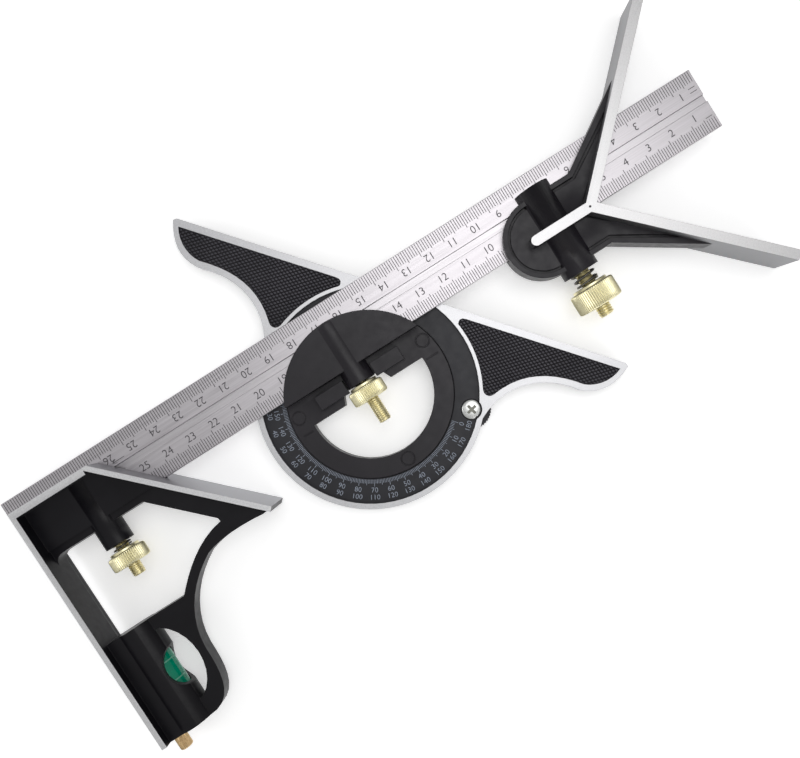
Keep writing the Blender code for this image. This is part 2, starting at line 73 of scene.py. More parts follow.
# The rule
RULE_LENGTH, RULE_WIDTH, RULE_HALF = 300.0, 24.0, 1.0
GROOVE_WIDTH, GROOVE_DEPTH = 3.0, 0.9
MARK_RISE, MARK_ROOT = 0.015, 0.05  # etched marks stand proud of their surface, and start below it
LABEL_HALF = 0.03               # half the thickness of a number
TICK_WIDTH = 0.25

# The clamps, as in the frame: tube end, bolt and stud radius, nut radius and ends, stud end, spring, pitch
CLAMPS = {
    "square": dict(tube_end=-11.5, bolt_r=4.2, stud_r=2.5, nut_r=7.15, nut=(-13.8, -20.4), stud_end=-25.1,
                   coil_r=3.35, wire_r=0.35, turns=3, pitch=0.8, teeth=56),
    "turret": dict(tube_end=-9.0, bolt_r=4.2, stud_r=2.5, nut_r=7.0, nut=(-9.5, -16.2), stud_end=-25.7,
                   coil_r=3.35, wire_r=0.35, turns=2, pitch=0.8, teeth=56),
    "center": dict(tube_end=-17.9, bolt_r=5.2, stud_r=3.0, nut_r=8.8, nut=(-23.2, -32.3), stud_end=-36.6,
                   coil_r=4.2, wire_r=0.5, turns=4, pitch=1.0, teeth=64),
}
POCKET_DEPTH, POCKET_WALL = 2.5, 2.0  # spring pocket in the tube's end, and the wall above it
LUG_LOW, LUG_HIGH, BOLT_TOP, FLAT_START = 10.8, 11.7, 13.4, -2.4
SLOT_Z = RULE_HALF + GAP

# The square head's level and scriber
VIAL_X, VIAL_R, VIAL_WALL, VIAL_TOP, VIAL_END, BOSS_END = -12.2, 5.8, 0.8, -44.0, -76.0, -83.0
SCRIBER_X, SCRIBER_R, SCRIBER_DEPTH, KNOB_R, KNOB_LENGTH = -20.6, 0.8, 38.0, 2.5, 5.9

# The protractor head
BODY_FRONT, BODY_BACK = -1.3, -7.0
DIAL_FLOOR, DIAL_INNER, DIAL_OUTER = -2.6, 31.5, 40.8
RECESS_FLOOR = -2.1
LOCK_HEAD_R, LOCK_SHANK_R, LOCK_NUT_R, LOCK_SEAT, LOCK_TOP = 3.65, 2.0, 7.9, -3.3, -1.6
LOCK_RIM = 0.75                 # height of the screw head's dome
BACK_PLANE = -10.5              # the plane that the set lies on
DOT_AT, DOT_R, DOT_FLOOR, DOT_TOP = (12.6, 0.0), 0.45, 10.2, 10.4  # centre mark on the vee

WORN_ENAMEL, WORN_METAL = 0.35, 0.15  # radius that edges are worn to, in shading


# ---------------------------------------------------------------- frames
JOINTS = {joint["name"]: joint for joint in frame["joints"]}
rule_low, rule_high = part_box("rule")
MID_Z = (rule_low.z + rule_high.z) / 2


def joint_at(name):
    return Vector(JOINTS[name]["pos_m"])


def frame_at(x, y, angle=0.0):
    """Local millimetres to the world's metres, for a frame at (x, y) on the rule's mid-plane."""
    return Matrix.Translation((x, y, MID_Z)) @ Matrix.Rotation(angle, 4, 'Z') @ Matrix.Scale(MM, 4)


RULE = frame_at(rule_high.x, rule_low.y)         # X = 0 at the zero end, negative along the rule
HEADS = {name: frame_at(joint_at(f"{name}_nut_turn").x, rule_low.y) for name in CLAMPS}
SWIVEL = joint_at("protractor_swivel")
LOCKS = {side: joint_at(f"lock_{side}_turn") for side in ("left", "right")}
LOCK_SPAN = LOCKS["right"] - LOCKS["left"]
PROTRACTOR_ANGLE = math.atan2(LOCK_SPAN.y, LOCK_SPAN.x)
PROTRACTOR = frame_at(SWIVEL.x, SWIVEL.y, PROTRACTOR_ANGLE)


# ---------------------------------------------------------------- materials
def new_material(name, colour, roughness, metallic=0.0, **sockets):
    """A Principled material; sockets are constants such as coat_weight=0.3."""
    mat = bpy.data.materials.new(name)
    mat.use_nodes = True
    shader = mat.node_tree.nodes["Principled BSDF"]
    shader.inputs["Base Color"].default_value = (*colour, 1)
    shader.inputs["Roughness"].default_value = roughness
    shader.inputs["Metallic"].default_value = metallic
    for socket, value in sockets.items():
        shader.inputs[socket.replace("_", " ").title().replace("Ior", "IOR")].default_value = value
    return mat


def noise(mat, scale, stretch=(1, 1, 1), detail=3.0):
    """Noise in the piece's own coordinates, in cycles per millimetre; stretch under 1 draws it out."""
    nodes, links = mat.node_tree.nodes, mat.node_tree.links
    place = nodes.new("ShaderNodeTexCoord")
    mapping = nodes.new("ShaderNodeMapping")
    mapping.inputs["Scale"].default_value = [scale * s / MM for s in stretch]
    links.new(place.outputs["Object"], mapping.inputs["Vector"])
    texture = nodes.new("ShaderNodeTexNoise")
    texture.inputs["Scale"].default_value = 1.0
    texture.inputs["Detail"].default_value = detail
    links.new(mapping.outputs["Vector"], texture.inputs["Vector"])
    return texture.outputs["Fac"]


def vary_colour(mat, factor, dark, light, low=0.35, high=0.65):
    """Base colour from dark to light as the factor goes from low to high."""
    nodes, links = mat.node_tree.nodes, mat.node_tree.links
    ramp = nodes.new("ShaderNodeValToRGB")
    for element, position, colour in zip(ramp.color_ramp.elements, (low, high), (dark, light)):
        element.position, element.color = position, (*colour, 1)
    links.new(factor, ramp.inputs["Fac"])
    links.new(ramp.outputs["Color"], nodes["Principled BSDF"].inputs["Base Color"])


def map_range(nodes, source, target):
    """A Map Range node from one pair of limits to another."""
    spread = nodes.new("ShaderNodeMapRange")
    for socket, value in zip(("From Min", "From Max", "To Min", "To Max"), (*source, *target)):
        spread.inputs[socket].default_value = value
    return spread


def vary_roughness(mat, factor, low, high):
    """Roughness from low to high over the middle of the factor's range."""
    nodes, links = mat.node_tree.nodes, mat.node_tree.links
    spread = map_range(nodes, (0.3, 0.7), (low, high))
    links.new(factor, spread.inputs["Value"])
    links.new(spread.outputs["Result"], nodes["Principled BSDF"].inputs["Roughness"])


def add_bump(mat, factor, depth, strength=1.0, edge=0.0):
    """Bump of the given depth in millimetres, over edges worn to the given radius."""
    nodes, links = mat.node_tree.nodes, mat.node_tree.links
    bump = nodes.new("ShaderNodeBump")
    bump.inputs["Distance"].default_value = depth * MM
    bump.inputs["Strength"].default_value = strength
    if edge:
        worn = nodes.new("ShaderNodeBevel")
        worn.samples = 6
        worn.inputs["Radius"].default_value = edge * MM
        links.new(worn.outputs["Normal"], bump.inputs["Normal"])
    links.new(factor, bump.inputs["Height"])
    links.new(bump.outputs["Normal"], nodes["Principled BSDF"].inputs["Normal"])


def enamel(name, dark, light, rough, gloss=0.36):
    """Satin enamel with a faint orange peel and slow changes of tone."""
    tone_scale, gloss_scale, peel_scale, peel_depth = 0.06, 0.35, 2.5, 0.012
    mat = new_material(name, dark, rough, specular_ior_level=gloss)
    vary_colour(mat, noise(mat, tone_scale), dark, light)
    vary_roughness(mat, noise(mat, gloss_scale), rough - 0.05, rough + 0.08)
    add_bump(mat, noise(mat, peel_scale), peel_depth, 0.4, edge=WORN_ENAMEL)
    return mat


def ground_metal(name, dark, light, rough, stretch=(1, 1, 1)):
    """Bare metal with fine grinding marks, drawn out by the stretch."""
    grain_scale, grain_depth = 2.2, 0.006
    mat = new_material(name, light, rough, metallic=1.0)
    marks = noise(mat, grain_scale, stretch, detail=5)
    vary_colour(mat, marks, dark, light, 0.25, 0.75)
    vary_roughness(mat, marks, rough - 0.06, rough + 0.10)
    add_bump(mat, marks, grain_depth, 0.6, edge=WORN_METAL)
    return mat


def make_materials():
    """Every material by its short name: dark and light colour, then roughness."""
    along_rule = (0.02, 1, 1)
    mats = {
        "enamel": enamel("black_enamel", (0.0075, 0.006, 0.009), (0.0125, 0.0105, 0.0145), 0.4),
        # Painted shade: the square head's enamel is a darker, less glossy copy of the black enamel, for the
        # dimmer light on its end of the set.
        "shaded_enamel": enamel("shaded_black_enamel", (0.0035, 0.003, 0.0045), (0.006, 0.0055, 0.0075), 0.36,
                       gloss=0.22),
        # Painted light: the protractor body's enamel is a lighter copy of the black enamel, for the brighter
        # light on that part of the set.
        "dial": enamel("dial_enamel_lit", (0.012, 0.012, 0.0155), (0.019, 0.019, 0.0235), 0.46),
        # Painted highlight: the knurl's flat tops take a lighter copy of the black enamel, for the light they
        # catch above the dark valleys.
        "crest": enamel("crest_enamel_painted_highlight", (0.036, 0.035, 0.042), (0.060, 0.058, 0.068), 0.45),
        "ground": ground_metal("ground_face", (0.66, 0.66, 0.67), (0.84, 0.84, 0.85), 0.38),
        # Painted shade: rim and vee are darker copies of the ground metal, holding down the key light's
        # highlight on the protractor's rims and the centre head's arms.
        "rim": ground_metal("rim_face_shaded", (0.52, 0.52, 0.535), (0.66, 0.66, 0.675), 0.4),
        "vee": ground_metal("vee_face_shaded", (0.53, 0.525, 0.53), (0.66, 0.655, 0.66), 0.4),
        # Painted shade: the ground sides are darker copies of the same metals, for the light falling off on
        # faces that look sideways.
        "ground_side_shaded": ground_metal("ground_side_shaded", (0.33, 0.33, 0.35), (0.45, 0.45, 0.47), 0.42),
        "vee_side_shaded": ground_metal("vee_side_shaded", (0.20, 0.20, 0.21), (0.30, 0.30, 0.31), 0.42),
        "rule": ground_metal("rule_steel", (0.47, 0.45, 0.47), (0.60, 0.575, 0.60), 0.36, along_rule),
        # Painted highlight: the groove is a brighter copy of the rule's steel.
        "groove": ground_metal("groove_steel_painted_sheen", (0.50, 0.48, 0.50), (0.60, 0.58, 0.60), 0.36, along_rule),
        "needle": ground_metal("needle_steel", (0.50, 0.50, 0.50), (0.62, 0.62, 0.62), 0.3),
        "spring": ground_metal("spring_steel", (0.10, 0.10, 0.09), (0.20, 0.19, 0.17), 0.35),
        "zinc": ground_metal("zinc_plate", (0.66, 0.67, 0.66), (0.80, 0.81, 0.79), 0.3),
        # Painted shade: a dark copy of the zinc for the screws' cross recesses.
        "recess": ground_metal("zinc_recess_painted_shade", (0.16, 0.16, 0.14), (0.26, 0.26, 0.23), 0.45),
        "brass": ground_metal("brass", (0.84, 0.77, 0.47), (1.0, 0.95, 0.66), 0.36),
        "stud_brass": ground_metal("stud_brass", (0.66, 0.58, 0.30), (0.88, 0.80, 0.50), 0.36),
        "scriber_brass": ground_metal("scriber_brass", (0.56, 0.38, 0.18), (0.76, 0.56, 0.32), 0.33),
        # The etched black serves the rule's marks and numbers, and is also the painted shade in the centre
        # head's dimple.
        "etch": new_material("etched_black_and_dot_shade", (0.06, 0.055, 0.062), 0.6),
        "paint": new_material("dial_paint", (0.25, 0.28, 0.34), 0.6),
        "plastic": new_material("black_plastic", (0.012, 0.012, 0.013), 0.5),
        "ring": new_material("vial_ring", (0.10, 0.32, 0.22), 0.3),
        "acrylic": new_material("green_acrylic", (0.0, 0.30, 0.17), 0.08, transmission_weight=0.3, ior=1.3,
                                coat_weight=0.4),
        "spirit": new_material("green_spirit", (0.0, 0.26, 0.15), 0.08, coat_weight=0.6),
    }
    add_bump(mats["plastic"], noise(mats["plastic"], 1.2), 0.02, 0.5)
    vary_roughness(mats["etch"], noise(mats["etch"], 2.0), 0.5, 0.7)
    vary_colour(mats["paint"], noise(mats["paint"], 1.5), (0.20, 0.225, 0.28), (0.32, 0.36, 0.43))
    vary_roughness(mats["ring"], noise(mats["ring"], 2.0), 0.35, 0.5)
    vary_colour(mats["spirit"], noise(mats["spirit"], 0.08), (0.0, 0.22, 0.12), (0.0, 0.29, 0.17))
    vary_colour(mats["acrylic"], noise(mats["acrylic"], 0.1), (0.0, 0.24, 0.135), (0.0, 0.33, 0.19))
    vary_roughness(mats["acrylic"], noise(mats["acrylic"], 0.5), 0.05, 0.12)
    return mats


MATS = make_materials()


# ---------------------------------------------------------------- mesh tools, all in local millimetres
def mesh_from(bm):
    bmesh.ops.recalc_face_normals(bm, faces=bm.faces)
    mesh = bpy.data.meshes.new("shape")
    bm.to_mesh(mesh)
    bm.free()
    return mesh


def add_box(bm, low, high, turn=None):
    """A box from corner to corner, turned by an optional matrix."""
    size = [b - a for a, b in zip(low, high)]
    middle = [(a + b) / 2 for a, b in zip(low, high)]
    place = Matrix.Translation(middle) @ Matrix.Diagonal((*size, 1))
    bmesh.ops.create_cube(bm, size=1, matrix=turn @ place if turn else place)


def box_mesh(low, high, turn=None):
    bm = bmesh.new()
    add_box(bm, low, high, turn)
    return mesh_from(bm)


def lathe(profile, columns, shape=None, along="Y"):
    """A turned solid from (radius, distance) points.

    shape(radius, distance, angle) may cut knurls or threads. A profile that starts and ends at radius 0 is
    solid; any other is closed on itself and has a bore."""
    bm = bmesh.new()
    rows = []
    for radius, distance in profile:
        ring = []
        for i in range(columns if radius else 1):
            angle = 2 * math.pi * i / columns
            r = shape(radius, distance, angle) if shape and radius else radius
            a, b = r * math.cos(angle), r * math.sin(angle)
            ring.append(bm.verts.new((a, distance, b) if along == "Y" else (a, b, distance)))
        rows.append(ring)
    pairs = list(zip(rows, rows[1:]))
    if profile[0][0]:
        pairs.append((rows[-1], rows[0]))
    for low, high in pairs:
        for i in range(columns):
            after = i + 1
            corners = [low[i % len(low)], low[after % len(low)], high[after % len(high)], high[i % len(high)]]
            bm.faces.new(list(dict.fromkeys(corners)))
    return mesh_from(bm)


def triangle_wave(turns):
    """From 0 at each whole turn up to 1 halfway between."""
    return 1 - abs(2 * (turns % 1) - 1)


def knurl(teeth, depth, low, high):
    """Straight knurling between two distances along a turned piece."""
    def shape(radius, distance, angle):
        inside = low <= distance <= high
        return radius - depth * triangle_wave(teeth * angle / (2 * math.pi)) if inside else radius
    return shape


def mesh_of(obj):
    """The mesh of an object or curve after its modifiers, as a new mesh."""
    bpy.context.view_layer.update()
    return bpy.data.meshes.new_from_object(obj.evaluated_get(bpy.context.evaluated_depsgraph_get()))


def mesh_of_curve(curve):
    holder = bpy.data.objects.new(curve.name, curve)
    bpy.context.scene.collection.objects.link(holder)
    mesh = mesh_of(holder)
    bpy.data.objects.remove(holder, do_unlink=True)
    return mesh


def evaluated(mesh, *modifiers):
    """The mesh after modifiers, each a (type, settings) pair; a mesh in the settings goes in as an object."""
    obj = bpy.data.objects.new("work", mesh)
    bpy.context.scene.collection.objects.link(obj)
    tools = []
    for kind, settings in modifiers:
        mod = obj.modifiers.new(kind.lower(), kind)
        for key, value in settings.items():
            if isinstance(value, bpy.types.Mesh):
                value = bpy.data.objects.new("tool", value)
                bpy.context.scene.collection.objects.link(value)
                tools.append(value)
            setattr(mod, key, value)
    result = mesh_of(obj)
    for used in [obj, *tools]:
        bpy.data.objects.remove(used, do_unlink=True)
    return result


def boolean(operation, mesh, tools):
    return evaluated(mesh, *[("BOOLEAN", dict(operation=operation, solver='EXACT', object=t)) for t in tools])


def cut(mesh, *tools):
    return boolean('DIFFERENCE', mesh, tools)


def join(mesh, *tools):
    return boolean('UNION', mesh, tools)


def piece(name, mesh, place, body, mats, replaces=(), sharp=35.0):
    """Puts a local mesh in the world as a named piece that rides on a body.

    Normals are weighted by face area, so that slivers beside a cut don't shade the flat faces."""
    mesh.transform(place)
    for slot_index, mat in enumerate(mats):
        if slot_index < len(mesh.materials):
            mesh.materials[slot_index] = MATS[mat]
        else:
            mesh.materials.append(MATS[mat])
    mesh.shade_smooth()
    mesh.set_sharp_from_angle(angle=math.radians(sharp))
    mesh = evaluated(mesh, ("WEIGHTED_NORMAL", dict(keep_sharp=True)))
    mesh.name = name
    obj = bpy.data.objects.new(name, mesh)
    bpy.context.scene.collection.objects.link(obj)
    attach(obj, body)
    if replaces:
        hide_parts(*replaces)
    return obj


# ---------------------------------------------------------------- castings
FACING = 0.9                    # a face with this much of its normal along Z looks forwards or backwards


def local_cad(node, place):
    """A working copy of a CAD node's mesh in local millimetres, welded and with its flat faces whole."""
    weld, flat = 0.002, math.radians(0.6)
    bm = bmesh.new()
    bm.from_mesh(frame["nodes"][node].data)
    bmesh.ops.transform(bm, matrix=place.inverted(), verts=bm.verts)
    bmesh.ops.remove_doubles(bm, verts=bm.verts, dist=weld)
    bmesh.ops.dissolve_limit(bm, angle_limit=flat, verts=bm.verts, edges=bm.edges)
    bmesh.ops.recalc_face_normals(bm, faces=bm.faces)
    return bm


def make_casting(node, place, mats, is_ground, marks=()):
    """A casting, enamelled but for the faces that is_ground(centre, normal) picks, with marks cut into it.

    The materials are the enamel, the ground faces in front and behind, and the ground sides."""
    bm = local_cad(node, place)
    for face in bm.faces:
        bare = is_ground(face.calc_center_median(), face.normal)
        face.material_index = 0 if not bare else 1 if abs(face.normal.z) > FACING else 2
    mesh = mesh_from(bm)
    if marks:
        mesh = cut(mesh, *marks)
    piece(f"{node}_casting", mesh, place, frame["nodes"][node]["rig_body"], mats, (node,),
          sharp=30)


def square_faces():
    """Picks the square head's ground rims and reference faces."""
    bm = local_cad("square_head", HEADS["square"])
    edge = min(v.co.x for v in bm.verts)
    top = max(v.co.y for v in bm.verts)
    front = max(v.co.z for v in bm.verts)
    mitre = max(v.co.x + v.co.y for v in bm.verts)
    bm.free()
    back_rim, near = -7.4, 0.05

    def is_ground(centre, normal):
        if normal.z > FACING:
            return centre.z > front - near
        if normal.z < -FACING:
            return centre.z < back_rim
        on_mitre = normal.x > 0.5 and normal.y > 0.5 and centre.x + centre.y > mitre - near
        return centre.x < edge + near or centre.y > top - near or on_mitre
    return is_ground


def center_faces():
    """Picks the centre head's spine and vee."""
    bm = local_cad("center_head", HEADS["center"])
    vee = max(v.co.x - abs(v.co.y) for v in bm.verts)
    front = max(v.co.z for v in bm.verts)
    bm.free()
    arm_thick, near = 3.8, 0.1

    def is_ground(centre, normal):
        if abs(normal.z) > FACING:
            return abs(centre.z) > front - near
        depth = (vee - centre.x + abs(centre.y)) * math.sqrt(0.5)
        return depth < arm_thick + near
    return is_ground


def protractor_faces():
    """Picks the protractor body's front rims and its outer edges."""
    lock_spots = [PROTRACTOR.inverted() @ spot for spot in LOCKS.values()]
    middle, rim, lock_reach, near = (BODY_FRONT + BODY_BACK) / 2, DIAL_OUTER - 0.5, 6.0, 0.05

    def is_ground(centre, normal):
        if abs(normal.z) > FACING:
            return centre.z > BODY_FRONT - near
        clear = all((centre - spot).to_2d().length > lock_reach for spot in lock_spots)
        return clear and centre.to_2d().length > rim and abs(centre.z - middle) < 0.3
    return is_ground


def turret_marks():
    """Three round ejector marks in the turret's ring and two short index lines beside them."""
    middle = HEADS["turret"].inverted() @ Vector((SWIVEL.x, SWIVEL.y, MID_Z))
    low, high, inner, outer = BODY_FRONT - 0.25, BODY_FRONT + 1, 2.3, 2.75
    marks = []
    for x, y in ((27.2, 6.8), (-27.2, 6.8), (-0.9, -27.6)):
        ring = lathe([(inner, low), (inner, high), (outer, high), (outer, low)], 40, along="Z")
        ring.transform(Matrix.Translation((middle.x + x, middle.y + y, 0)))
        marks.append(ring)
    line_from, line_to = 25.0, 29.5
    for side in (-1, 1):
        marks.append(box_mesh((middle.x + side * line_from - 0.2, middle.y - 0.2, low),
                              (middle.x + side * line_to + 0.2, middle.y + 0.3, high)))
    return marks


def web_outline(inset):
    """Edge of the centre head's web, moved inwards, counter-clockwise from inside the vee."""
    disc_x, disc_r, vee_x, flat_end, reach, slope = -6.1, 14.85, 14.5, 14.1, 31.0, math.radians(33)
    r, length = disc_r - inset, reach - 2.5 * inset
    upper = [(flat_end + length + inset, r + length * math.tan(slope)),
             (flat_end + inset * math.tan(slope / 2), r)]
    turns = [math.radians(90 + 90 * i / 14) for i in range(15)]
    upper += [(disc_x + r * math.cos(a), r * math.sin(a)) for a in turns]
    return [(vee_x - 2 * inset, 0)] + upper + [(x, -y) for x, y in upper[-2::-1]]


def prism(outline, low, high):
    """A solid between two heights with the outline's shape."""
    bm = bmesh.new()
    rings = [[bm.verts.new((x, y, z)) for x, y in outline] for z in (low, high)]
    for ring in rings:
        bm.faces.new(ring)
    for i in range(len(outline)):
        after = (i + 1) % len(outline)
        bm.faces.new((rings[0][i], rings[0][after], rings[1][after], rings[1][i]))
    return mesh_from(bm)


def round_disc(x, y, radius, low, high):
    return prism([(x + radius * math.cos(math.pi * i / 12), y + radius * math.sin(math.pi * i / 12))
                  for i in range(24)], low, high)


def web_grooves():
    """The groove round the sunk web inside its rim, front and back, and the dimple for the centre mark."""
    rim, width, floor, depth, over = 1.85, 1.0, 3.9, 1.1, 0.02
    grooves = []
    for low, high in ((floor - depth, floor + over), (-floor - over, depth - floor)):
        core = prism(web_outline(rim + width), low - 1, high + 1)
        grooves.append(cut(prism(web_outline(rim), low, high), core))
    return [*grooves, round_disc(*DOT_AT, DOT_R, DOT_FLOOR + 0.05, DOT_FLOOR + 0.8)]


def make_castings():
    # The square head takes the darker enamel and the darker ground sides, both painted shade.
    make_casting("square_head", HEADS["square"], ("shaded_enamel", "ground", "ground_side_shaded"), square_faces())
    make_casting("turret", HEADS["turret"], ("enamel",), lambda centre, normal: False, turret_marks())
    # The protractor body takes the lighter enamel, painted light, and the darker rim metal, painted shade.
    make_casting("protractor_body", PROTRACTOR, ("dial", "rim", "rim"), protractor_faces())
    # The centre head's vee and its sides take the darker ground metals, painted shade.
    make_casting("center_head", HEADS["center"], ("enamel", "vee", "vee_side_shaded"), center_faces(), web_grooves())


# ---------------------------------------------------------------- the rule
def rule_section():
    """The grooved section with chamfered edges, as (y, z) points counter-clockwise seen from the zero end."""
    chamfer, lean, middle = 0.2, 0.15, RULE_WIDTH / 2
    half, groove, floor = RULE_HALF, GROOVE_WIDTH / 2, RULE_HALF - GROOVE_DEPTH
    return [(chamfer, -half), (RULE_WIDTH - chamfer, -half), (RULE_WIDTH, -half + chamfer),
            (RULE_WIDTH, half - chamfer), (RULE_WIDTH - chamfer, half), (middle + groove, half),
            (middle + groove - lean, floor), (middle - groove + lean, floor), (middle - groove, half),
            (chamfer, half), (0, half - chamfer), (0, -half + chamfer)]


def make_rule():
    """The blade, with its groove painted brighter than its faces: a painted highlight for the light along its
    hollow.
    """
    section, floor = rule_section(), RULE_HALF - GROOVE_DEPTH
    bm = bmesh.new()
    ends = [[bm.verts.new((x, y, z)) for y, z in section] for x in (-RULE_LENGTH, 0)]
    for end in ends:
        bm.faces.new(end)
    for i in range(len(section)):
        after = (i + 1) % len(section)
        side = bm.faces.new((ends[0][i], ends[0][after], ends[1][after], ends[1][i]))
        side.material_index = 1 if floor in (section[i][1], section[after][1]) else 0
    piece("rule_blade", mesh_from(bm), RULE, "rule", ("rule", "groove"), ("rule",), sharp=20)


def label_mesh(text, height, place):
    """A number of the given digit height, LABEL_HALF thick each way, centred on its place matrix."""
    digit_share = 0.7           # a digit's height against the font's size
    curve = bpy.data.curves.new("label", 'FONT')
    curve.body = text
    curve.size = height / digit_share
    curve.extrude = LABEL_HALF
    curve.offset = -0.02
    curve.resolution_u = 3
    curve.align_x, curve.align_y = 'CENTER', 'CENTER'
    mesh = mesh_of_curve(curve)
    mesh.transform(place)
    return mesh


def merged(meshes):
    """One mesh made of several, which are used up."""
    bm = bmesh.new()
    for mesh in meshes:
        bm.from_mesh(mesh)
        bpy.data.meshes.remove(mesh)
    bmesh.ops.remove_doubles(bm, verts=bm.verts, dist=1e-5)
    return mesh_from(bm)


def make_graduations():
    """Millimetre lines along both edges, longer at each half and whole centimetre."""
    bm = bmesh.new()
    low, high, margin, half = RULE_HALF - MARK_ROOT, RULE_HALF + MARK_RISE, 0.25, TICK_WIDTH / 2
    for step in range(1, int(RULE_LENGTH)):
        length = 5.4 if step % 10 == 0 else 4.9 if step % 5 == 0 else 4.2
        for start in (margin, RULE_WIDTH - margin - length):
            add_box(bm, (-step - half, start, low), (-step + half, start + length, high))
    for y in (5.2, 16.0, 17.6):  # short plain lines by the zero end
        add_box(bm, (-4.0, y, low), (-1.2, y + TICK_WIDTH, high))
    piece("rule_graduations", mesh_from(bm), RULE, "rule", ("etch",))


def make_numbers():
    """Centimetre numbers in two rows that read from opposite edges, with a small arrow near the far end."""
    top, beside, height = RULE_HALF - LABEL_HALF + MARK_RISE, 2.4, 2.9
    labels = []
    for number in range(1, int(RULE_LENGTH / 10)):
        x = -10 * number + beside
        for y, turn in ((7.4, 0.0), (16.8, math.pi)):
            place = Matrix.Translation((x, y, top)) @ Matrix.Rotation(turn, 4, 'Z')
            labels.append(label_mesh(str(number), height, place))
    low, high, tip, half = RULE_HALF - MARK_ROOT, RULE_HALF + MARK_RISE, Vector((-257.0, 14.8, 0)), 0.1
    for angle, length in ((0, 5.0), (28, 1.8), (-28, 1.8)):
        turn = Matrix.Translation(tip) @ Matrix.Rotation(math.radians(angle), 4, 'Z')
        labels.append(box_mesh((0, -half, low), (length, half, high), turn))
    piece("rule_numbers", merged(labels), RULE, "rule", ("etch",))


# ---------------------------------------------------------------- the clamps
def stud_mesh(spec, start):
    """Threaded stud with a chamfered end, from start down to the spec's stud end."""
    pitch, crest, depth = spec["pitch"], spec["stud_r"], 0.4 * spec["pitch"]
    per_pitch, end = 6, spec["stud_end"]
    count = int((start - end) / pitch * per_pitch)
    profile = [(0, start), (crest, start)]
    profile += [(crest, start + (end - start) * i / count) for i in range(1, count)]
    profile += [(crest - depth - 0.1, end), (0, end)]

    def shape(radius, distance, angle):
        fade = min(1.0, (distance - end) / (pitch * 0.8))
        groove = triangle_wave(distance / pitch - angle / (2 * math.pi))
        return radius - depth * groove - (1 - fade) * 0.3
    return lathe(profile, 28, shape)


def bolt_mesh(spec):
    """Hook bolt: round body with a flat for the blade, the hook that runs in the groove, and the stud."""
    low = spec["tube_end"] + POCKET_DEPTH + POCKET_WALL + GAP
    r, edge, hook_half = spec["bolt_r"], 0.3, 2.5
    body = lathe([(0, BOLT_TOP), (r - edge, BOLT_TOP), (r, BOLT_TOP - edge), (r, low + edge), (r - edge, low),
                  (0, low)], 48)
    body = cut(body, box_mesh((-r - 1, FLAT_START, -r - 1), (r + 1, BOLT_TOP + 1, SLOT_Z)))
    hook = box_mesh((-hook_half, LUG_LOW, RULE_HALF - GROOVE_DEPTH + GAP),
                    (hook_half, LUG_HIGH, SLOT_Z + 0.5))
    return join(body, hook, stud_mesh(spec, low + 1))


def nut_mesh(spec):
    """Knurled thumb nut with a plain collar and a countersunk bore."""
    top, end = spec["nut"]
    r, bore, teeth = spec["nut_r"], spec["stud_r"] + GAP, spec["teeth"]
    collar_r, collar, dome = r * 0.78, 1.0, 0.75
    face, depth = top - collar, 0.3
    profile = [(bore, top - 0.3), (bore + 0.3, top), (collar_r - 0.3, top), (collar_r, top - 0.3),
               (collar_r, face), (r - 1.1, face), (r - 0.35, face - 0.25), (r, face - dome)]
    profile += [(r, face - dome + (end + 2 * dome - face) * t) for t in (0.25, 0.5, 0.75)]
    profile += [(r, end + dome), (r - 0.35, end + 0.25), (r - 1.1, end), (bore + 0.5, end), (bore, end + 0.5)]
    return lathe(profile, teeth * 4, knurl(teeth, depth, end + 0.25, face - 0.25))


def spring_mesh(spec):
    """Compression spring with a closed turn at each end."""
    per_turn, closed = 28, 0.6
    first = spec["tube_end"] + POCKET_DEPTH - GAP - spec["wire_r"]
    last = spec["nut"][0] + GAP + spec["wire_r"]
    thinner = 0.9               # keeps the faceted wire inside its envelope
    curve = bpy.data.curves.new("coil", 'CURVE')
    curve.dimensions = '3D'
    curve.bevel_depth, curve.bevel_resolution, curve.use_fill_caps = spec["wire_r"] * thinner, 3, True
    total = spec["turns"] * per_turn
    spline = curve.splines.new('POLY')
    spline.points.add(total)
    for i, point in enumerate(spline.points):
        angle = 2 * math.pi * i / per_turn
        turns = i / per_turn
        rise = min(max((turns - closed) / (spec["turns"] - 2 * closed), 0.0), 1.0)
        point.co = (spec["coil_r"] * math.cos(angle), first + (last - first) * rise,
                    spec["coil_r"] * math.sin(angle), 1)
    return merged([mesh_of_curve(curve)])


def make_clamps():
    for name, spec in CLAMPS.items():
        place = HEADS[name]
        head = frame["nodes"][f"{name}_clamp_spring"]["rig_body"]
        piece(f"{name}_hook_bolt", bolt_mesh(spec), place, f"{name}_bolt", ("stud_brass",),
              (f"{name}_clamp_bolt",), sharp=50)
        piece(f"{name}_thumb_nut", nut_mesh(spec), place, f"{name}_nut", ("brass",),
              (f"{name}_clamp_nut",), sharp=40)
        piece(f"{name}_spring", spring_mesh(spec), place, head, ("spring",),
              (f"{name}_clamp_spring",))


# ---------------------------------------------------------------- level and scriber
def moved(mesh, x):
    mesh.transform(Matrix.Translation((x, 0, 0)))
    return mesh


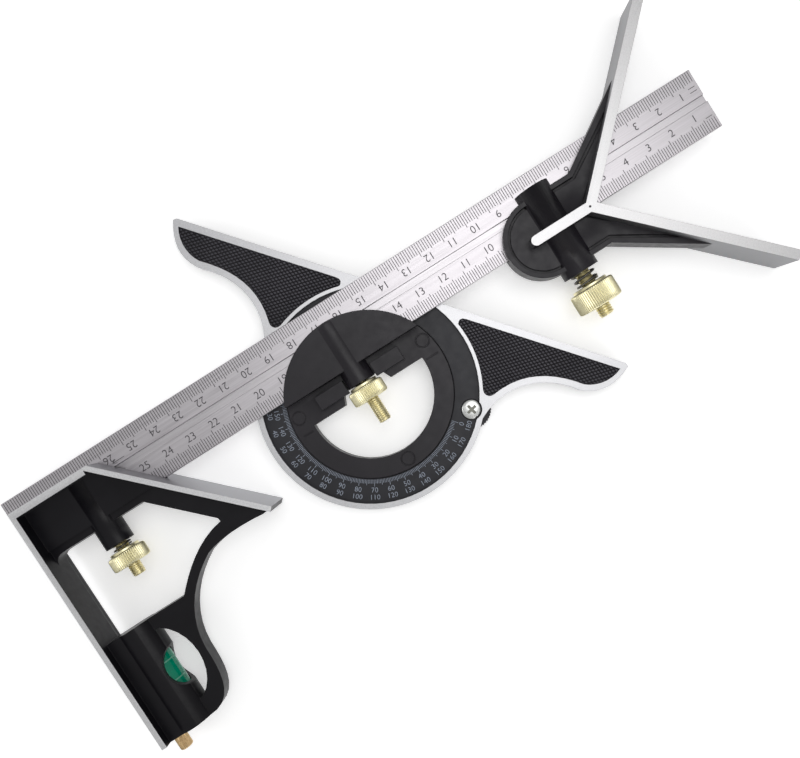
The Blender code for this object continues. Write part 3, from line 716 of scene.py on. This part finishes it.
def make_level():
    """The tube with liquid, bubble and two rings inside the boss, then its stopper and end plug."""
    place, inner = HEADS["square"], VIAL_R - VIAL_WALL
    cap, edge, stopper_top = 1.2, 0.4, VIAL_END + 2
    tube = lathe([(0, VIAL_TOP), (VIAL_R - edge, VIAL_TOP), (VIAL_R, VIAL_TOP - edge), (VIAL_R, VIAL_END),
                  (inner, VIAL_END), (inner, VIAL_TOP - cap), (0, VIAL_TOP - cap)], 64)
    piece("level_tube", moved(tube, VIAL_X), place, "square_head", ("acrylic",),
          ("vial_tube",))

    r, top, end = inner - GAP, VIAL_TOP - cap - GAP, stopper_top + GAP
    spirit = lathe([(0, top), (r - edge, top), (r, top - edge), (r, end + edge), (r - edge, end), (0, end)],
                   64)
    bubble_r, bubble_half, bubble_y, bubble_z = 2.1, 4.2, top - 6, r - 1.2
    bubble = lathe([(0, bubble_y + bubble_half)] + [
        (bubble_r * math.sin(math.pi * i / 12), bubble_y + bubble_half * math.cos(math.pi * i / 12))
        for i in range(1, 12)] + [(0, bubble_y - bubble_half)], 32)
    bubble.transform(Matrix.Translation((0, 0, bubble_z)))
    spirit = cut(spirit, bubble)
    piece("level_spirit", moved(spirit, VIAL_X), place, "square_head", ("spirit",),
          ("vial_spirit",), sharp=50)

    ring_in, ring_out, half = VIAL_R - 0.2, VIAL_R + 0.04, 0.25
    for side, y in (("upper", -57.4), ("lower", -65.0)):
        ring = lathe([(ring_out, y + half), (ring_out, y - half), (ring_in, y - half), (ring_in, y + half)],
                     64)
        piece(f"level_ring_{side}", moved(ring, VIAL_X), place, "square_head", ("ring",))

    stopper = lathe([(0, stopper_top), (r - 0.3, stopper_top), (r, stopper_top - 0.3), (r, VIAL_END),
                     (0, VIAL_END)], 48)
    piece("level_stopper", moved(stopper, VIAL_X), place, "square_head", ("plastic",),
          ("vial_stopper",))
    plug_top = VIAL_END - GAP
    plug = lathe([(0, plug_top), (VIAL_R - 0.3, plug_top), (VIAL_R, plug_top - 0.3), (VIAL_R, BOSS_END + 0.5),
                  (VIAL_R - 0.5, BOSS_END), (2.0, BOSS_END), (1.4, BOSS_END + 0.6), (0, BOSS_END + 0.6)], 48)
    piece("level_end_plug", moved(plug, VIAL_X), place, "square_head", ("plastic",),
          ("vial_end_plug",))


def make_scriber():
    """Knurled knob below the boss and the pointed needle above it."""
    place, top, r = HEADS["square"], BOSS_END - GAP, KNOB_R
    end, teeth, shoulder = top - KNOB_LENGTH, 26, 0.6
    profile = [(0, top), (r - 0.5, top), (r - 0.2, top - 0.25), (r, top - shoulder)]
    profile += [(r, top - shoulder - (KNOB_LENGTH - 2 * shoulder) * t) for t in (0.25, 0.5, 0.75)]
    profile += [(r, end + shoulder), (r - 0.25, end + 0.25), (r - 0.7, end), (0, end)]
    knob = lathe(profile, teeth * 4, knurl(teeth, 0.22, end + 0.5, top - 0.5))
    piece("scriber_grip", moved(knob, SCRIBER_X), place, "scriber", ("scriber_brass",),
          ("scriber_knob",))
    tip, taper, root = BOSS_END + SCRIBER_DEPTH, 8.0, top - 3.5
    needle = lathe([(0, tip), (0.12, tip - 0.1), (SCRIBER_R, tip - taper), (SCRIBER_R, root), (0, root)], 24)
    piece("scriber_point", moved(needle, SCRIBER_X), place, "scriber", ("needle",),
          ("scriber_needle",), sharp=60)


# ---------------------------------------------------------------- protractor details
def make_locks():
    """Domed cross-head screws in front, knurled nuts behind."""
    r, rim, shank_end = LOCK_HEAD_R, LOCK_TOP - LOCK_RIM, BACK_PLANE + 0.2
    top, end, nut_r, bore, teeth = BODY_BACK - GAP, BACK_PLANE, LOCK_NUT_R, LOCK_SHANK_R + GAP, 44
    cross_long, cross_half, cross_deep = 2.0, 0.5, 0.9
    cross_turn = Matrix.Rotation(math.radians(-27.5), 4, 'Z')
    for side, spot in LOCKS.items():
        place = frame_at(spot.x, spot.y, PROTRACTOR_ANGLE)
        dome = [(r * math.sin(a), rim + (LOCK_TOP - rim) * math.cos(a)) for a in
                [math.radians(d) for d in (12, 30, 48, 65, 80)]]
        screw = lathe([(0, LOCK_TOP), *dome, (r, rim - 0.1), (r, LOCK_SEAT + 0.15), (r - 0.15, LOCK_SEAT),
                       (LOCK_SHANK_R, LOCK_SEAT), (LOCK_SHANK_R, shank_end + 0.3),
                       (LOCK_SHANK_R - 0.3, shank_end), (0, shank_end)], 48, along="Z")
        cross = [box_mesh((-a, -b, LOCK_TOP - cross_deep), (a, b, LOCK_TOP + 1), cross_turn)
                 for a, b in ((cross_long, cross_half), (cross_half, cross_long))]
        screw = cut(screw, *cross)
        # Faces down in the cross take the dark zinc, painted shade in the recess.
        for face in screw.polygons:
            in_cross = Vector(face.center[:2]).length < cross_long + 0.2
            sunk = LOCK_TOP - cross_deep - 0.1 < face.center.z < LOCK_TOP - 0.25
            face.material_index = 1 if in_cross and sunk else 0
        piece(f"lock_{side}_screw", screw, place, "protractor_body", ("zinc", "recess"),
              (f"lock_screw_{side}",), sharp=40)
        nut = lathe([(bore, top), (nut_r - 0.6, top), (nut_r, top - 0.5), (nut_r, (top + end) / 2),
                     (nut_r, end + 0.5), (nut_r - 0.6, end), (bore + 0.3, end), (bore, end + 0.3)], teeth * 4,
                    knurl(teeth, 0.35, end + 0.4, top - 0.4), along="Z")
        piece(f"lock_{side}_nut", nut, place, f"lock_nut_{side}", ("enamel",),
              (f"lock_nut_{side}",))


def make_dial():
    """Degree lines and two rows of numbers on the sunk dial, on the side away from the reference edge."""
    bm = bmesh.new()
    low, high, half, inner = DIAL_FLOOR - 0.04, DIAL_FLOOR + MARK_RISE, 0.09, DIAL_INNER + 0.35
    label_z, label_height = DIAL_FLOOR - LABEL_HALF + MARK_RISE, 1.9
    labels = []
    for degree in range(181):
        length = 2.6 if degree % 10 == 0 else 2.1 if degree % 5 == 0 else 1.5
        turn = Matrix.Rotation(math.radians(-degree), 4, 'Z')
        add_box(bm, (inner, -half, low), (inner + length, half, high), turn)
        if degree % 10 == 0:
            for value, radius in ((degree, 35.9), (180 - degree, 38.6)):
                stand = turn @ Matrix.Translation((radius, 0, label_z)) @ Matrix.Rotation(math.pi / 2, 4, 'Z')
                labels.append(label_mesh(str(value), label_height, stand))
    piece("dial_degrees", mesh_from(bm), PROTRACTOR, "protractor_body", ("paint",))
    piece("dial_numbers", merged(labels), PROTRACTOR, "protractor_body", ("paint",))


def diamond_sheet(columns, rows, long, wide, low, peak):
    """A slab whose top is a lattice of flat-topped diamonds, long by wide, standing on the plane at low."""
    top_share = 0.62            # a diamond's flat top against its foot
    bm = bmesh.new()
    corners = {}

    def corner(i, j):
        if (i, j) not in corners:
            corners[i, j] = bm.verts.new((i * long / 2, j * wide / 2, low))
        return corners[i, j]

    for i in range(*columns):
        for j in range(*rows):
            if (i + j) % 2:
                continue
            around = [corner(i - 1, j), corner(i, j - 1), corner(i + 1, j), corner(i, j + 1)]
            middle = Vector((i * long / 2, j * wide / 2, 0))
            top = [bm.verts.new((*(middle + top_share * (v.co - middle)).to_2d(), peak)) for v in around]
            # The flat tops take the second slot, the lighter enamel of the painted highlight.
            bm.faces.new(top).material_index = 1
            for k in range(4):
                bm.faces.new((around[k], around[(k + 1) % 4], top[(k + 1) % 4], top[k]))
    rim = [edge for edge in bm.edges if edge.is_boundary]
    skirt = bmesh.ops.extrude_edge_only(bm, edges=rim)["geom"]
    for vert in [item for item in skirt if isinstance(item, bmesh.types.BMVert)]:
        vert.co.z = low - 1
    bmesh.ops.contextual_create(bm, geom=[item for item in skirt if isinstance(item, bmesh.types.BMEdge)])
    return mesh_from(bm)


def make_knurled_panels():
    """Diamond knurling on the sunk floor of each arm, within the floor's own outline."""
    body = local_cad("protractor_body", PROTRACTOR)
    floors = [face for face in body.faces
              if face.normal.z > FACING and abs(face.calc_center_median().z - RECESS_FLOOR) < 0.05]
    for side, sign in (("left", -1), ("right", 1)):
        floor = max((face for face in floors if face.calc_center_median().x * sign > 0),
                    key=lambda face: face.calc_area())
        bed = prism([vert.co.to_2d() for vert in floor.verts], RECESS_FLOOR - 0.05, BODY_FRONT - 0.05)
        columns = (-84, -18) if sign < 0 else (19, 85)
        sheet = diamond_sheet(columns, (14, 58), 2.1, 1.45, RECESS_FLOOR + 0.05, RECESS_FLOOR + 0.45)
        panel = evaluated(sheet, ("BOOLEAN", dict(operation='INTERSECT', solver='EXACT', object=bed)))
        piece(f"arm_knurling_{side}", panel, PROTRACTOR, "protractor_body",
              ("enamel", "crest"), sharp=20)
    body.free()


def make_center_dot():
    """Small centre mark where the spine meets the vee: a dark disc in its dimple, painted shade for the
    hollow.
    """
    piece("center_dot_shade", round_disc(*DOT_AT, DOT_R - 0.05, DOT_FLOOR, DOT_TOP), HEADS["center"],
          "center_head", ("etch",))


# ---------------------------------------------------------------- stage, light and camera
def make_stage():
    bm = bmesh.new()
    bmesh.ops.create_grid(bm, x_segments=1, y_segments=1, size=6000)
    mesh = mesh_from(bm)
    mesh.transform(Matrix.Scale(MM, 4))
    floor = bpy.data.objects.new("floor", mesh)
    bpy.context.scene.collection.objects.link(floor)
    mesh.materials.append(new_material("pale_floor", (0.90, 0.90, 0.90), 0.9, specular_ior_level=0.0,
                                       emission_strength=0.38))
    mesh.materials[0].node_tree.nodes["Principled BSDF"].inputs["Emission Color"].default_value = (1, 1, 1, 1)

    world = bpy.data.worlds.new("studio")
    bpy.context.scene.world = world
    world.use_nodes = True
    nodes, links = world.node_tree.nodes, world.node_tree.links
    place, split = nodes.new("ShaderNodeTexCoord"), nodes.new("ShaderNodeSeparateXYZ")
    spread = map_range(nodes, (0.0, 0.9), (0.30, 0.56))  # brighter overhead than at the horizon
    links.new(place.outputs["Generated"], split.inputs["Vector"])
    links.new(split.outputs["Z"], spread.inputs["Value"])
    links.new(spread.outputs["Result"], nodes["Background"].inputs["Strength"])
    nodes["Background"].inputs["Color"].default_value = (1, 1, 1, 1)

    for name, at, size, power in (("key", (-25, 40, 500), 360, 0.8), ("side", (-760, 420, 300), 400, 1.1),
                                  ("low", (-60, -720, 380), 400, 1.1)):
        light = bpy.data.lights.new(name, 'AREA')
        light.size = size * MM
        light.energy = power
        lamp = bpy.data.objects.new(name, light)
        lamp.location = RULE @ Vector(at)
        aim = RULE @ Vector((-RULE_LENGTH / 2, 0, 0)) - lamp.location
        lamp.rotation_euler = aim.to_track_quat('-Z', 'Y').to_euler()
        bpy.context.scene.collection.objects.link(lamp)


def make_camera():
    """Looks almost straight down, off to one side of the middle, with the lens shifted back onto the set."""
    data = bpy.data.cameras.new("camera")
    data.lens = 35.01
    data.shift_x, data.shift_y = -0.0613, 0.0300
    data.clip_start = 0.01
    camera = bpy.data.objects.new("camera", data)
    camera.location = RULE @ Vector((-140.65, -22.82, 289.46))
    camera.rotation_euler = [math.radians(a) for a in (-1.63, -1.111, -32.31)]
    bpy.context.scene.collection.objects.link(camera)
    bpy.context.scene.camera = camera
    bpy.context.scene.view_settings.view_transform = 'Standard'


def main():
    make_castings()
    make_rule()
    make_graduations()
    make_numbers()
    make_clamps()
    make_level()
    make_scriber()
    make_locks()
    make_dial()
    make_knurled_panels()
    make_center_dot()
    make_stage()
    make_camera()


main()
